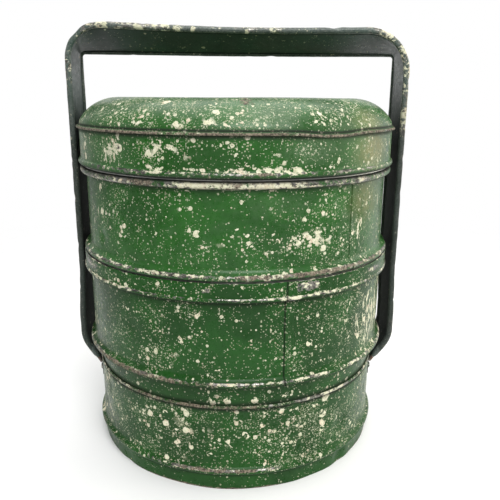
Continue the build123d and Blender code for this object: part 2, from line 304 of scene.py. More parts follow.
class Nodes:
    """Short ways to build one material's node tree."""

    def __init__(self, name):
        self.material = bpy.data.materials.new(name)
        self.material.use_nodes = True
        self.tree = self.material.node_tree
        self.shader = self.tree.nodes["Principled BSDF"]
        self.place = self.add("ShaderNodeTexCoord").outputs["Object"]

    def add(self, kind, **settings):
        node = self.tree.nodes.new(kind)
        for key, value in settings.items():
            setattr(node, key, value)
        return node

    def feed(self, socket, value):
        if isinstance(value, bpy.types.NodeSocket):
            self.tree.links.new(value, socket)
        else:
            socket.default_value = value

    def math(self, operation, *values, clamp=False):
        node = self.add("ShaderNodeMath", operation=operation, use_clamp=clamp)
        for socket, value in zip(node.inputs, values):
            self.feed(socket, value)
        return node.outputs[0]

    def times(self, first, second, clamp=False):
        return self.math("MULTIPLY", first, second, clamp=clamp)

    def most(self, first, *others):
        """The greatest of several values."""
        for other in others:
            first = self.math("MAXIMUM", first, other)
        return first

    def vector(self, operation, first, second):
        node = self.add("ShaderNodeVectorMath", operation=operation)
        self.feed(node.inputs[0], first)
        self.feed(node.inputs[3] if operation == "SCALE" else node.inputs[1], second)
        return node.outputs[0]

    def mark(self, name):
        return self.add("ShaderNodeAttribute", attribute_name=name).outputs["Fac"]

    def noise(self, size, detail=3.0, rough=0.5, output=0, stretch=None):
        """Noise whose features are about size millimetres across: a value, or a colour at output 1."""
        place = self.vector("MULTIPLY", self.place, stretch) if stretch else self.place
        node = self.add("ShaderNodeTexNoise")
        self.feed(node.inputs["Vector"], place)
        node.inputs["Scale"].default_value = 1 / (size * MM)
        node.inputs["Detail"].default_value = detail
        node.inputs["Roughness"].default_value = rough
        return node.outputs[output]

    def band(self, value, low, high):
        """0 below low and 1 above high."""
        node = self.add("ShaderNodeMapRange", interpolation_type="SMOOTHSTEP")
        for socket, amount in zip(node.inputs, (value, low, high)):
            self.feed(socket, amount)
        return node.outputs[0]

    def mix(self, amount, first, second):
        node = self.add("ShaderNodeMix", data_type="RGBA")
        self.feed(node.inputs["Factor"], amount)
        self.feed(node.inputs[6], first)
        self.feed(node.inputs[7], second)
        return node.outputs[2]

    def blend(self, amount, first, second):
        """A number between two others."""
        node = self.add("ShaderNodeMix", data_type="FLOAT")
        for index, value in zip((0, 2, 3), (amount, first, second)):
            self.feed(node.inputs[index], value)
        return node.outputs[0]

    def drops(self, cell, density, smallest, largest, soft=0.06, ragged=0.3):
        """Mask of round drops of paint, at most one to a cell. Sizes are shares of the cell."""
        wobble = self.noise(cell * 0.5, detail=2, output=1)
        wobble = self.vector("SUBTRACT", wobble, (0.5, 0.5, 0.5))
        wobble = self.vector("SCALE", wobble, cell * MM * ragged)
        node = self.add("ShaderNodeTexVoronoi")
        self.feed(node.inputs["Vector"], self.vector("ADD", self.place, wobble))
        node.inputs["Scale"].default_value = 1 / (cell * MM)
        parts = self.add("ShaderNodeSeparateColor")
        self.feed(parts.inputs[0], node.outputs["Color"])
        there = self.math("LESS_THAN", parts.outputs[0], density)
        spread = self.math("POWER", parts.outputs[1], 2.0)
        size = self.math("MULTIPLY_ADD", spread, largest - smallest, smallest)
        size = self.math("MULTIPLY", self.math("ADD", size, soft), there)
        depth = self.math("SUBTRACT", size, node.outputs["Distance"])
        return self.band(depth, 0.0, soft)

    def finish(self, colour, rough, metal, bump, lift=0.4):
        """Feed the shader and give back the material. bump is a height, and lift its strength."""
        self.feed(self.shader.inputs["Base Color"], colour)
        self.feed(self.shader.inputs["Roughness"], rough)
        self.feed(self.shader.inputs["Metallic"], metal)
        relief = self.add("ShaderNodeBump")
        relief.inputs["Strength"].default_value = lift
        relief.inputs["Distance"].default_value = BUMP_HEIGHT
        self.feed(relief.inputs["Height"], bump)
        self.feed(self.shader.inputs["Normal"], relief.outputs[0])
        return self.material


# Colours of the paint's troubles
CREAM, PINK_CREAM, PALE_CREAM = (0.62, 0.62, 0.42, 1), (0.66, 0.52, 0.38, 1), (0.74, 0.72, 0.55, 1)
METAL_DARK, METAL_LIGHT = (0.09, 0.09, 0.08, 1), (0.30, 0.29, 0.26, 1)
RUST_DARK, RUST_LIGHT = (0.050, 0.043, 0.032, 1), (0.27, 0.225, 0.165, 1)
# The second colour darkens crevices and seams nearly black: soiling with painted shade
OIL_STAIN, DIRT_AND_SHADE = (0.22, 0.18, 0.05, 1), (0.007, 0.009, 0.006, 1)


def enamel(n, mottle, green, shade, haze_and_sheen_tone):
    """The paint's colour: blotched, hazed at random, lightened by a painted sheen where the sheen mark says,
    and stained.
    """
    blotch = n.noise(26, detail=4, rough=0.6)
    colour = n.mix(n.band(blotch, 0.35, 0.68), shade, green)
    haze = n.times(n.band(mottle, 0.45, 0.8), 0.06)
    scuff = n.band(n.noise(1.1, detail=5, rough=0.7), 0.38, 0.62)
    # Painted sheen and reflection: the sheen mark lightens the paint toward the haze tone
    sheen_veil = n.times(n.mark("pale"), n.math("MULTIPLY_ADD", scuff, 0.8, 0.45))
    colour = n.mix(n.math("ADD", haze, sheen_veil, clamp=True), colour, haze_and_sheen_tone)
    stained = n.times(n.mark("stain"), n.band(mottle, 0.2, 0.6))
    return n.mix(stained, colour, OIL_STAIN)


def spatter(n, specks, splash):
    """Masks of the cream spatter, fine mist to clots, and of where it lies thick."""
    cluster = n.noise(13, detail=3, rough=0.6)
    gather = n.band(cluster, 0.36, 0.62)
    fine_share = n.times(specks, n.math("MULTIPLY_ADD", gather, 1.2, 0.35))
    mist = n.drops(0.85, n.times(fine_share, 0.75), 0.16, 0.46, soft=0.12)
    fine = n.drops(1.35, n.times(fine_share, 0.7), 0.14, 0.50)
    fine = n.most(fine, n.times(mist, 0.8))
    middle_share = n.math("MULTIPLY_ADD", splash, 0.6, n.times(specks, 0.28))
    middle_share = n.times(middle_share, n.math("MULTIPLY_ADD", gather, 0.9, 0.2))
    middle = n.drops(2.7, middle_share, 0.16, 0.52)
    big_share = n.times(splash, n.band(cluster, 0.40, 0.56))
    big = n.drops(5.2, big_share, 0.16, 0.52, soft=0.05, ragged=0.45)
    clot = n.band(n.math("MULTIPLY_ADD", splash, 0.16, n.noise(5.0, detail=5, rough=0.6)), 0.66, 0.69)
    clot = n.times(clot, n.band(splash, 0.55, 0.85))
    trail = n.noise(2.4, detail=3, rough=0.55, stretch=(1, 1, 0.32))
    trail = n.band(n.math("MULTIPLY_ADD", n.mark("streak"), 0.2, trail), 0.70, 0.74)
    trail = n.times(trail, n.band(n.mark("streak"), 0.1, 0.3))
    clot = n.most(clot, trail)
    eaten = n.band(n.noise(0.9, detail=4, rough=0.7), 0.32, 0.44)
    cream = n.times(n.most(fine, middle, big, clot), eaten)
    thick = n.most(big, clot, n.times(middle, 0.7))
    return cream, thick


def worn_paint(name, green, shade, haze_and_sheen_tone, shine=0.36):
    """Old enamel: chips to grey metal, rust, crevices darkened by soiling and painted shade, a painted sheen,
    and cream spatter where the marks say.
    """
    n = Nodes(name)
    specks, splash, wear = n.mark("specks"), n.mark("splash"), n.mark("wear")
    mottle = n.noise(3.2, detail=5, rough=0.65)
    colour = enamel(n, mottle, green, shade, haze_and_sheen_tone)

    cream, thick = spatter(n, specks, splash)
    tint = n.mix(n.band(n.noise(6.5, detail=3), 0.48, 0.68), CREAM, PINK_CREAM)
    tint = n.mix(n.band(n.noise(1.8, detail=3), 0.3, 0.7), tint, PALE_CREAM)
    cover = n.times(cream, n.math("MULTIPLY_ADD", thick, 0.45, 0.55), clamp=True)
    colour = n.mix(cover, colour, tint)

    # Edges worn through to metal, with old cream and rust left between
    chip = n.noise(2.6, detail=6, rough=0.68)
    bare = n.band(n.math("MULTIPLY_ADD", wear, 0.48, chip), 0.86, 0.92)
    metal_tone = n.mix(n.band(n.noise(2.0, detail=4), 0.35, 0.65), METAL_DARK, METAL_LIGHT)
    colour = n.mix(bare, colour, metal_tone)
    crust = n.noise(4.0, detail=6, rough=0.7, stretch=(1, 1, 1.6))
    caught = n.math("MULTIPLY_ADD", splash, 0.11, n.times(wear, 0.30))
    left = n.band(n.math("ADD", caught, crust), 0.80, 0.86)
    colour = n.mix(left, colour, tint)
    rot = n.noise(3.0, detail=7, rough=0.75)
    rusty = n.band(n.math("ADD", n.times(n.mark("rust"), 0.42), rot), 0.74, 0.86)
    rust_tone = n.mix(n.band(n.noise(1.2, detail=4), 0.35, 0.65), RUST_DARK, RUST_LIGHT)
    colour = n.mix(rusty, colour, rust_tone)
    # Crevices and seams darkened nearly black: soiling with painted shade
    dirt_and_shade = n.times(n.mark("grime"), n.band(mottle, 0.15, 0.42))
    colour = n.mix(dirt_and_shade, colour, DIRT_AND_SHADE)

    covered = n.most(dirt_and_shade, rusty, left)
    metal = n.times(bare, n.math("SUBTRACT", 1.0, covered))
    rough = n.blend(n.band(mottle, 0.3, 0.7), 0.23, 0.42)
    rough = n.blend(n.most(cream, left), rough, 0.62)
    rough = n.blend(n.most(rusty, dirt_and_shade), rough, 0.85)
    depth = n.math("MULTIPLY_ADD", thick, 0.5, 0.2)
    relief = n.math("MULTIPLY_ADD", cream, depth, n.times(mottle, 0.12))
    relief = n.math("SUBTRACT", relief, n.times(n.most(bare, rusty), 0.25))
    relief = n.math("MULTIPLY_ADD", rot, 0.25, relief)
    n.shader.inputs["Specular IOR Level"].default_value = shine
    return n.finish(colour, rough, metal, relief, lift=0.5)


def bare_tin():
    """Dull tinplate, stained and spotted with rust."""
    n = Nodes("bare_tin")
    cloud = n.noise(18, detail=5, rough=0.6)
    grain = n.noise(1.4, detail=5, rough=0.6)
    stain = n.noise(8, detail=6, rough=0.7)
    colour = n.mix(n.band(cloud, 0.3, 0.7), (0.30, 0.30, 0.28, 1), (0.52, 0.52, 0.49, 1))
    spots = n.band(stain, 0.60, 0.68)
    colour = n.mix(n.times(spots, 0.8), colour, (0.11, 0.065, 0.035, 1))
    rough = n.blend(grain, 0.30, 0.50)
    rough = n.blend(spots, rough, 0.8)
    metal = n.math("SUBTRACT", 1.0, spots)
    return n.finish(colour, rough, metal, n.math("MULTIPLY_ADD", grain, 0.3, stain), lift=0.25)


def wire_iron():
    """Iron wire gone brown, with its drawn grain."""
    n = Nodes("iron_wire")
    rot = n.noise(2.5, detail=6, rough=0.7)
    grain = n.noise(0.5, detail=4, rough=0.6)
    rusty = n.band(rot, 0.40, 0.62)
    colour = n.mix(rusty, (0.22, 0.21, 0.20, 1), (0.12, 0.055, 0.028, 1))
    rough = n.blend(rusty, 0.42, 0.85)
    return n.finish(colour, rough, n.math("SUBTRACT", 1.0, rusty), n.math("ADD", rot, grain), lift=0.4)


def dull_steel():
    """Hammered rivet steel under the last of the strap's paint."""
    n = Nodes("dull_steel")
    chip = n.noise(1.6, detail=5, rough=0.65)
    grain = n.noise(0.6, detail=4, rough=0.6)
    paint = n.band(chip, 0.46, 0.52)
    colour = n.mix(paint, (0.33, 0.32, 0.29, 1), (0.022, 0.050, 0.024, 1))
    rusty = n.band(n.noise(2.2, detail=6, rough=0.7), 0.58, 0.68)
    colour = n.mix(rusty, colour, (0.14, 0.07, 0.035, 1))
    covered = n.most(paint, rusty)
    rough = n.blend(covered, 0.38, 0.55)
    relief = n.math("MULTIPLY_ADD", paint, 0.5, grain)
    return n.finish(colour, rough, n.math("SUBTRACT", 1.0, covered), relief, lift=0.4)


# Green, its darker shade, and the haze and painted sheen on it: upper tins, lower tins, strap
TIN_TONES = (0.022, 0.112, 0.015, 1), (0.016, 0.074, 0.012, 1), (0.20, 0.27, 0.17, 1)
# The lower tins' green is darker than the upper tins': painted shade
SHADED_LOW_TONES = (0.014, 0.078, 0.011, 1), (0.011, 0.052, 0.009, 1), (0.14, 0.19, 0.12, 1)
STRAP_TONES = (0.014, 0.048, 0.034, 1), (0.008, 0.026, 0.019, 1), (0.20, 0.22, 0.20, 1)
tin_paint = worn_paint("tin_paint", *TIN_TONES)
# The lower tins' copy of the paint, darker and less glossy: painted shade
shaded_low_paint = worn_paint("shaded_low_paint", *SHADED_LOW_TONES, shine=0.18)
strap_paint = worn_paint("strap_paint", *STRAP_TONES, shine=0.3)
tinplate = bare_tin()
iron = wire_iron()
steel = dull_steel()
SHELL, SHADED_LOW_SHELL = [tin_paint, tinplate], [shaded_low_paint, tinplate]


def tin_marks(seed, table, base_specks, base_splash, edge_rust=0.5, crevices=(), seam=None):
    """Marks for one hoop. table holds patches for each mark; crevices are heights darkened by soiling
    and painted shade, and how far that reaches; seam is its bearing, its width and its darkening."""

    def marks(bearing, height, exposed):
        def placed(mark):
            return patches(bearing, height, table.get(mark, ()))

        drift = ripple(seed, bearing, height, finest=9, lean=25)
        rubbed = 0.85 + 0.25 * ripple(seed + 1, bearing, height, finest=30)
        rusted = edge_rust + 0.3 * ripple(seed + 2, bearing, height, finest=24)
        # Darkening along crevices and beside the seam: soiling with painted shade under beads, rolls and
        # folds
        grime = sum(np.exp(-((height - level) / reach) ** 2) for level, reach in crevices) + 0 * height
        if seam is not None:
            middle, wide, dirt_and_shade = seam
            beside = np.radians(turn_between(bearing, middle)) * TIN_RADIUS + wide / 2
            grime = grime + dirt_and_shade * np.exp(-(beside / SEAM_GRIME_SHADE_REACH) ** 2)
        values = {
            "specks": base_specks * (1 + 0.45 * drift) + placed("specks"),
            "splash": base_splash * (1 + 0.7 * drift) + placed("splash"),
            "wear": exposed * rubbed + placed("wear"),
            "rust": exposed * rusted + placed("rust"),
            "grime": grime,
        }
        values |= {mark: placed(mark) for mark in ("pale", "streak", "stain")}
        return {mark: np.clip(value, 0, 1) for mark, value in values.items()}

    return marks


def tin_shape(seed, low, high, wave, deepest, knocks, seam=None, extra=None):
    """Unevenness of one hoop: slow waves, small dings between the heights low and high, and the
    folded seam, given as its bearing, its width and how far it stands out."""

    def shape(bearing, height, radius, outside):
        out = wave * ripple(seed, bearing, height) - wave
        out = out + dings(seed + 5, bearing, height, low, high, knocks, deepest)
        up = 0 * height
        if seam is not None:
            middle, wide, rise = seam
            reach = np.abs(np.radians(turn_between(bearing, middle))) * TIN_RADIUS
            fold = np.clip((wide / 2 - reach) / FOLD_SLOPE, 0, 1)
            crease = np.exp(-((reach - wide / 2) / CREASE_REACH) ** 2)
            out = out + np.where(outside, rise * fold - CREASE_DEPTH * crease, 0)
        if extra:
            more_out, more_up = extra(bearing, height, radius)
            out, up = out + more_out, up + more_up
        return out, up

    return shape


# ---- bottom tier
wall = radius_of("bottom_tier_foot") - SHEET / 2
foot_top = top_of("bottom_tier_foot") - 0.2
bead = wire_centre("bottom_tier_base_wire")
foot_fold, foot_inside = HEM + SHEET / 2, wall - 2 * HEM
ridge = top_of("bottom_tier_wall") - 0.75

spin(
    "bottom_foot_hoop", "bottom_tier",
    [stroke(run((foot_inside, HEM_DEPTH), (foot_inside, foot_fold))),
     stroke(arc((wall - HEM, foot_fold), HEM, 180, 360, 8), crest=0.7),
     stroke(run((wall, foot_fold), (wall, foot_top), 1.2))],
    tin_shape(11, 2, 10, wave=0.3, deepest=0.7, knocks=30),
    tin_marks(12, {"rust": [(-10, 0.5, 30, 2, 0.4), (60, 0.5, 20, 2, 0.4)]}, 0.10, 0.0,
              edge_rust=0.7, crevices=((foot_top, 1.4),)),
    SHADED_LOW_SHELL, ["bottom_tier_foot"])

spin(
    "bottom_wall_shell", "bottom_tier",
    [*base_roll(bead, wall, 0.7, 0.1),
     stroke(run((wall, bead[1] + 5.4), (wall, ridge - 1.2))),
     stroke(arc((wall - 0.15, ridge), 0.75, -70, 75, 10), crest=0.85)],
    tin_shape(21, 16, 52, wave=0.2, deepest=0.8, knocks=34),
    tin_marks(22, {
        "specks": [(30, 40, 30, 20, 0.25), (-30, 35, 20, 14, 0.12)],
        "splash": [(-18, 40, 10, 14, 0.55), (-8, 33, 8, 10, 0.4), (-40, 44, 8, 8, 0.25),
                   (35, 51, 2.6, 4.5, 1.0), (20, 42, 10, 8, 0.25), (-62, 35, 10, 14, 0.15)],
        "rust": [(-8, 14, 16, 2, 0.5), (-30, 54, 40, 1, 0.3)],
        "wear": [(31, 54, 12, 1.2, 0.3), (-6, 14, 22, 1.6, 0.35)],
    }, 0.62, 0.13, edge_rust=0.5, crevices=((ridge - 1.1, 0.45), (bead[1] - 2.2, 1.0))),
    SHADED_LOW_SHELL, ["bottom_tier_wall"])

collar = radius_of("bottom_tier_collar") - SHEET / 2
collar_low, collar_high = bottom_of("bottom_tier_collar"), top_of("bottom_tier_collar")
spin(
    "bottom_collar_hoop", "bottom_tier",
    hemmed_rim(collar, collar_low, collar_high),
    tin_shape(31, 56, 66, wave=0.06, deepest=0.25, knocks=16),
    tin_marks(32, {"splash": [(-8, 60, 8, 5, 0.7), (40, 60, 10, 5, 0.4)]},
              0.22, 0.10, crevices=((ridge + 0.8, 1.6), (collar_high + 0.5, 2.0))),
    SHADED_LOW_SHELL, ["bottom_tier_collar"])

# ---- middle tier
SEAM_BEARING, SEAM_WIDE, SEAM_RISE = 17.5, 6.0, 0.45
SWAGE = 1.6  # outside radius of the hollow bead
bead = wire_centre("middle_tier_base_wire")
wall = bead[0] - 1.1 - SHEET / 2
rim, swage_tip = top_of("middle_tier_wall"), radius_of("middle_tier_wall")
swage = np.array([swage_tip - SWAGE, rim - 9.7])
swage_foot = swage[1] - SWAGE - 0.5
collar = swage_tip - 0.6 - SHEET / 2

spin(
    "middle_wall_shell", "middle_tier",
    [*base_roll(bead, wall, 1.0, 0.3),
     stroke(run((wall, bead[1] + 5.6), (wall, swage_foot))),
     stroke(arc((wall + 0.9, swage_foot), 0.9, 180, 95, 5)),
     stroke(arc(swage, SWAGE - SHEET / 2, -100, 50, 16), crest=1.0, centre=swage),
     *hemmed_rim(collar, swage[1] + 1.5, rim, 1.3)],
    tin_shape(41, 76, 116, wave=0.16, deepest=0.6, knocks=36,
              seam=(SEAM_BEARING, SEAM_WIDE, SEAM_RISE)),
    tin_marks(42, {
        "specks": [(52, 95, 14, 26, 0.45), (-42, 85, 16, 16, 0.25), (26, 80, 14, 9, 0.35),
                   (-5, 112, 9, 5, 0.3)],
        "splash": [(-5, 110, 4.5, 4, 0.3), (6, 107, 3, 3, 0.5), (26, 75, 10, 4, 0.5),
                   (52, 95, 9, 22, 0.3), (-62, 90, 12, 22, 0.15), (-5, 71.5, 60, 2, 0.25),
                   (27, 122, 16, 2, 0.8), (-52, 122, 22, 2, 0.6)],
        "wear": [(22.7, 126.8, 5.5, 3.0, 1.2), (-9.3, 126.5, 2.2, 2.0, 1.1), (56, 126.5, 9, 3, 0.9),
                 (-62, 127, 12, 3.5, 0.9), (17.5, 121, 3.5, 3.5, 0.5), (26, 129, 9, 1.5, 0.4)],
        "rust": [(-40, 70.5, 30, 2, 0.4), (0, 70.5, 16, 2, 0.3), (17.5, 121, 4, 2, 0.3)],
        # The sheen mark: a painted sheen at the right edge
        "pale": [(66, 95, 13, 30, 0.10)],
        "streak": [(57, 95, 9, 24, 0.95), (72, 95, 10, 24, 0.9), (-70, 95, 10, 22, 0.4),
                   (42, 102, 5, 12, 0.4)],
    }, 0.34, 0.03, edge_rust=0.4, seam=(SEAM_BEARING, SEAM_WIDE, 0.85),
        crevices=((bead[1] - 2.0, 1.3), (swage[1] - SWAGE, 0.9))),
    SHADED_LOW_SHELL, ["middle_tier_wall"], seam=SEAM_BEARING)

# ---- top tier
LAP_BEARING, LAP_WIDE, LAP_RISE = 43.0, 6.0, 0.4
bead = wire_centre("top_tier_base_wire")
rim_roll = wire_centre("top_tier_rim_wire")
wall = bead[0] - 1.7 - SHEET / 2

spin(
    "top_wall_shell", "top_tier",
    [*base_roll(bead, wall, 1.0, 0.35),
     stroke(run((wall, bead[1] + 6.2), (wall, rim_roll[1] - 1.6))),
     stroke(arc(rim_roll, CURL, 180, -130, 34), left=PAINT, crest=0.95)],
    tin_shape(51, 138, 178, wave=0.16, deepest=0.7, knocks=36,
              seam=(LAP_BEARING, LAP_WIDE, LAP_RISE)),
    tin_marks(52, {
        "specks": [(35, 155, 20, 18, 0.35), (-40, 165, 14, 16, 0.3), (0, 145, 30, 5, 0.2)],
        "splash": [(22, 152, 8, 6, 0.7), (33, 154, 9, 9, 0.62), (12, 152, 7, 6, 0.5), (3, 153, 4, 5, 0.6),
                   (-5, 151, 3, 4, 0.6), (-10, 148, 3, 3, 0.5), (-22, 162, 1.6, 9, 0.5),
                   (-14, 162, 1.6, 9, 0.4), (28, 168, 10, 7, 0.5), (-45, 155, 8, 14, 0.2),
                   (0, 182.5, 15, 2.6, 1.6), (-29, 182.5, 3, 2, 0.5), (5, 134, 50, 2, 0.35),
                   (-60, 134, 20, 2, 0.2)],
        "streak": [(46, 158, 5, 16, 0.5), (62, 155, 12, 18, 0.35), (-66, 158, 14, 20, 0.4)],
        "wear": [(-20, 182.5, 60, 3, 0.12), (20, 133, 80, 3, 0.1)],
        "rust": [(-30, 183, 6, 2, 0.3), (10, 133, 50, 2.5, 0.35)],
        # The sheen mark: painted sheen at the left and right edges and a painted reflection high on the front
        "pale": [(-76, 158, 16, 24, 0.16), (64, 158, 16, 24, 0.14), (14, 172, 12, 6, 0.12)],
        "stain": [(50, 170, 9, 12, 0.4)],
    }, 0.22, 0.06, edge_rust=0.42, seam=(LAP_BEARING, LAP_WIDE, 0.25),
        crevices=((bead[1] - 2.0, 1.3), (rim_roll[1] - 2.1, 0.7), (rim_roll[1] + 2.1, 1.1))),
    SHELL, ["top_tier_wall"], seam=LAP_BEARING)

# ---- lid
bead = wire_centre("lid_rim_wire")
band = bead[0] + 0.5 - SHEET / 2
FLANGE = 0.45  # centre-line radius of the folded edge's turn
flange_tip, flange_low = radius_of("lid_crown"), bottom_of("lid_crown") + 0.7
flange = np.array([flange_tip - FLANGE - SHEET / 2, flange_low + FLANGE + SHEET / 2])
crown = top_of("lid_crown") - SHEET / 2
SKIRT_LEDGE, SKIRT_BEND = 4.2, 1.0  # the skirt hangs this far inside its ledge, round this bend
SHOULDER, SHOULDER_START = 31.0, 74.3  # outside radius of the dome's shoulder, and where it starts
SAG_END, SAG_FADE = 90, 15  # the top is dished inside this radius, and the dish fades over this
shoulder_centre = (SHOULDER_START, top_of("lid_crown") - SHOULDER)

spin(
    "lid_band_hoop", "lid",
    [turned_stroke(run((band, flange_low + 0.1), (band, bead[1] + 4.2), 1.4)),
     turned_stroke(flare(bead, band, tall=1.2)[::-1], crest=0.2),
     turned_stroke(arc(bead, CURL, FLARE_START, -210, 32), crest=0.8, centre=bead)],
    tin_shape(61, 190, 206, wave=0.12, deepest=0.35, knocks=26),
    tin_marks(62, {
        "specks": [(-30, 198, 25, 10, 0.5), (22, 200, 8, 5, 0.3), (52, 196, 12, 8, 0.3)],
        "splash": [(-41, 198, 5, 8, 0.9), (-25, 192, 3.5, 5, 1.0), (-23, 201, 4, 6, 0.9),
                   (-15, 199, 6, 7, 0.7), (-2, 204, 2, 2, 0.7), (12, 198, 2, 2, 0.7),
                   (8, 190.4, 26, 1.7, 1.2), (-60, 197, 8, 8, 0.4)],
        "wear": [(-39, 200, 2, 3, 0.9), (-20, 188, 60, 2.5, 0.15)],
        "rust": [(20, 188, 30, 2, 0.15), (47, 197, 6, 6, 0.15)],
        # The sheen mark: painted sheen at the left edge and on the front right
        "pale": [(-72, 197, 14, 9, 0.55), (-50, 197, 14, 9, 0.12), (23, 200, 9, 7, 0.3)],
        "stain": [(50, 198, 9, 10, 0.6)],
        "streak": [(-42, 198, 7, 9, 0.8), (-62, 197, 9, 9, 0.5), (58, 197, 12, 9, 0.5)],
    }, 0.30, 0.07, edge_rust=0.35,
        crevices=((flange[1] - 1.0, 1.3), (bead[1] - 2.0, 1.5))),
    SHELL, ["lid_band"])

skirt = radius_of("lid_skirt") - SKIRT_LEDGE
skirt_low, skirt_top = bottom_of("lid_skirt"), top_of("lid_skirt") - SHEET
spin(
    "lid_skirt_ring", "lid",
    [stroke(run((bead[0] - 0.7, skirt_top), (skirt + SKIRT_BEND, skirt_top), 1.5)),
     stroke(arc((skirt + SKIRT_BEND, skirt_top - SKIRT_BEND), SKIRT_BEND, 90, 180, 6)),
     stroke(run((skirt, skirt_top - SKIRT_BEND), (skirt, skirt_low)), right=TIN)],
    tin_shape(65, 178, 184, wave=0.05, deepest=0.15, knocks=8),
    # The ledge is darkened round its top: painted shade in the gap under the lid's bead
    tin_marks(66, {}, 0.2, 0.0, crevices=((skirt_top, 2.0),)),
    SHELL, ["lid_skirt"])


def crown_dips(bearing, height, radius):
    """The flange is bent down at the right of the front; the top is a little hollow."""
    low_rim = spot(bearing, height, 31, flange[1], 10, 7)
    far_lip = spot(bearing, height, 75, flange[1], 4, 4)
    top = np.clip(1 - radius / SHOULDER_START, 0, 1)
    sag = -0.5 * top * top + 0.5 * spot(bearing, radius, 140, 40, 50, 30) - 0.5
    drawn_in = np.where(radius > flange[0] - 3, 0.15, 0.0)
    up = sag * np.clip((SAG_END - radius) / SAG_FADE, 0, 1) - 1.3 * low_rim - 0.5 * far_lip
    return -drawn_in - 0.3 * low_rim, up


spin(
    "lid_crown_shell", "lid",
    [turned_stroke(run((0, crown), (SHOULDER_START, crown), 3.2)),
     turned_stroke(arc(shoulder_centre, SHOULDER - SHEET / 2, 90, 35, 26)),
     turned_stroke(run(flange + (-1.9, 3.8), flange + (-1.3, 1.4), 0.8)),
     turned_stroke(arc(flange + (-0.5, FLANGE + 0.8), 0.8, 200, 265, 5), crest=0.3),
     turned_stroke(arc(flange, FLANGE, 88, -90, 12), crest=0.85),
     turned_stroke(run(flange + (-0.3, -FLANGE), flange + (-1.2, -FLANGE), 0.5))],
    tin_shape(71, 212, 227, wave=0.15, deepest=0.4, knocks=20, extra=crown_dips),
    tin_marks(72, {
        "specks": [(0, 222, 180, 9, 0.2), (-25, 216, 30, 8, 0.2)],
        "splash": [(-46, 212, 2, 2.2, 0.8), (-30, 212.5, 3.5, 2.6, 0.9), (-17, 212, 3, 2.2, 0.8),
                   (-8, 213.5, 3.5, 4, 0.8), (-12, 219, 6, 3, 0.35), (5, 213, 6, 3, 0.3),
                   (30, 217, 6, 6, 0.2)],
        "rust": [(3, 224.5, 4, 3, 0.8), (50, 213, 5, 3, 0.4)],
        # The sheen mark: a painted reflection round the dome's top and painted sheen patches on its shoulder
        "pale": [(0, 224, 180, 8, 0.14), (-50, 216, 30, 9, 0.05), (9, 216, 10, 5, 0.4)],
        "stain": [(48, 214, 8, 6, 0.4)],
        "streak": [(-35, 220, 30, 6, 0.35), (35, 218, 20, 8, 0.5)],
    }, 0.50, 0.05, edge_rust=1.05, crevices=((flange[1] + 1.6, 0.7),)),
    SHELL, ["lid_crown"])

# ---- strap
strap_low, strap_high = (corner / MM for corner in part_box("handle_strap"))
roll_offset = strap_high.y - ROLL
wall_outside = radius_of("bottom_tier_foot")
tab_bottom = strap_low.z

WEB_HALF, WEB_SHEET, WEB_INSET = 13.6, 0.8, 0.5  # the flat between the rolls, just inside them
WEB_COLUMNS = 25  # of vertices across it
ROLL_SHEET = 0.6  # thickness of the rolled edges as drawn
ROLL_WIRE = 1.15  # radius of the wires in them

# Half spans at the centres of the rolls, and their heights; the handle leans to the right
BULGE_RIGHT, LEG_RIGHT = 107.85, 106.7
BULGE_LEFT, LEG_LEFT = 105.7, 103.9
KNEE, BULGE_LOW, BULGE_HIGH = 62.5, 82.0, 112.0
END_SPAN, END_HEIGHT = 93.5, 43.5
GRIP_FRONT = strap_high.z - ROLL + 0.6
GRIP_BACK = GRIP_FRONT - 14.4

# Bend radii of the strap, and the radius of the tabs' corners
KNEE_BEND, BULGE_BEND, TAB_BEND, GRIP_BEND, TAB_CORNER = 20, 60, 5, 1500, 3.0
CORNER_POINTS = 25  # along each bend
TAB_GAP = 0.05  # between a tab and the wall
TAB_EASE, TAB_EASE_TOP = 8, 7  # a tab flattens over this much height, up to this far above its bend

# Dents knocked into each roll at chance places, this far from its ends
CHANCE_NOTCHES, NOTCH_MARGIN = 34, 30

# Dents of the front roll: x, z, reach, depth, the degrees round the roll that they face
NOTCHES = [(-105.1, 130, 2.2, 0.4, 120), (-84, 266, 3.0, 0.35, 90), (-97, 262, 3.0, 0.4, 110),
           (60, 266, 2.5, 0.3, 90), (104, 236, 2.6, 0.35, 110), (105.1, 166, 2.6, 0.3, 120)]

# Cream left on the front roll, and places rubbed bare: x, z, reach, strength
CREAM_CHIPS = [(-82, 268, 4.0, 1.0), (-60, 267, 2.6, 1.0), (-44, 266.5, 4.0, 1.0), (-36, 266.5, 3.6, 1.0),
               (-27, 266, 2.6, 0.9), (6, 266, 3, 0.6), (22, 266, 3, 0.6), (37, 266, 3, 0.6),
               (94, 262, 5.0, 0.9), (103, 253, 5.0, 0.9), (106, 243, 4.0, 0.9), (106, 214, 8.0, 0.8)]
BARE_SPOTS = [(-88, 262, 10.0, 0.5), (-103, 240, 12.0, 0.35), (-60, 267, 20.0, 0.3),
              (20, 266, 24.0, 0.25), (92, 262, 14.0, 0.3), (105, 225, 24.0, 0.3)]


